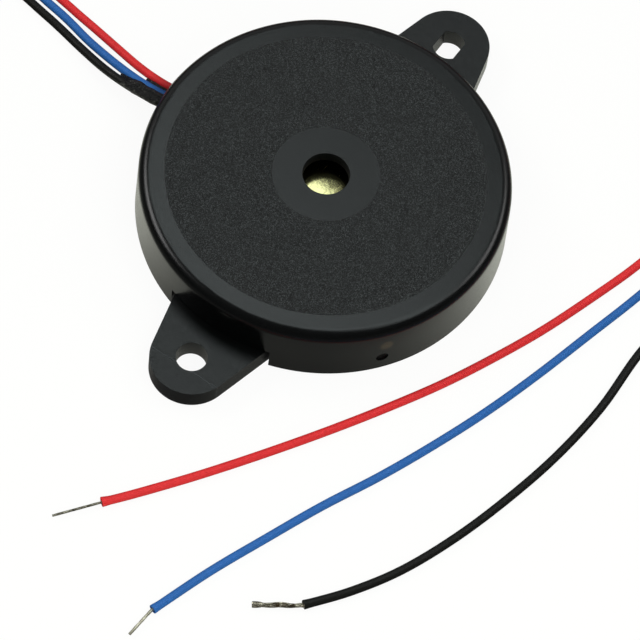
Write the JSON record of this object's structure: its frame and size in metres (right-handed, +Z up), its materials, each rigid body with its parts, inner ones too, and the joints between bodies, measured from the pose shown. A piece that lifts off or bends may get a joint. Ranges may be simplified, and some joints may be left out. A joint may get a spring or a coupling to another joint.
{
  "type": "piezo buzzer",
  "caption": "Round flat piezo buzzer in a black moulded case with a central sound hole, two mounting ears at its base, and red, blue and black leads with bare ends.",
  "frame": {"origin": "centre of the case's bottom edge, on the surface that it stands on", "axes": "+X from the case's centre towards the ear with the slot, +Y towards the side where the leads leave, +Z up through the sound hole"},
  "size_m": [0.1185, 0.1032, 0.0083],
  "materials": {
    "case": "black moulded plastic: glossy wall and rim, finely textured matte top round a smoother centre",
    "base_plate": "black moulded plastic, satin",
    "diaphragm": "rolled brass, finely scratched",
    "piezo_ceramic": "fired ceramic, matte",
    "electrode": "fired silver, matte",
    "adhesive": "white silicone, satin",
    "red_insulation": "red insulation, satin",
    "blue_insulation": "blue insulation, satin",
    "black_insulation": "black insulation, satin",
    "wire": "tinned copper, slightly dull",
    "solder": "solder, bright",
    "sealant": "black sealant, slightly glossy and lumpy"
  },
  "bodies": {
    "root": {"case": "case", "base_plate": "base_plate", "brass_diaphragm": "diaphragm", "piezo_ceramic": "piezo_ceramic", "main_electrode": "electrode", "feedback_electrode": "electrode", "diaphragm_adhesive": "adhesive", "red_lead": "red_insulation", "blue_lead": "blue_insulation", "black_lead": "black_insulation", "red_inner_end": "wire", "blue_inner_end": "wire", "black_inner_end": "wire", "red_solder_joint": "solder", "blue_solder_joint": "solder", "black_solder_joint": "solder", "red_tip": "wire", "blue_tip": "wire", "black_tip": "wire", "lead_sealant": "sealant"}
  },
  "joints": []
}
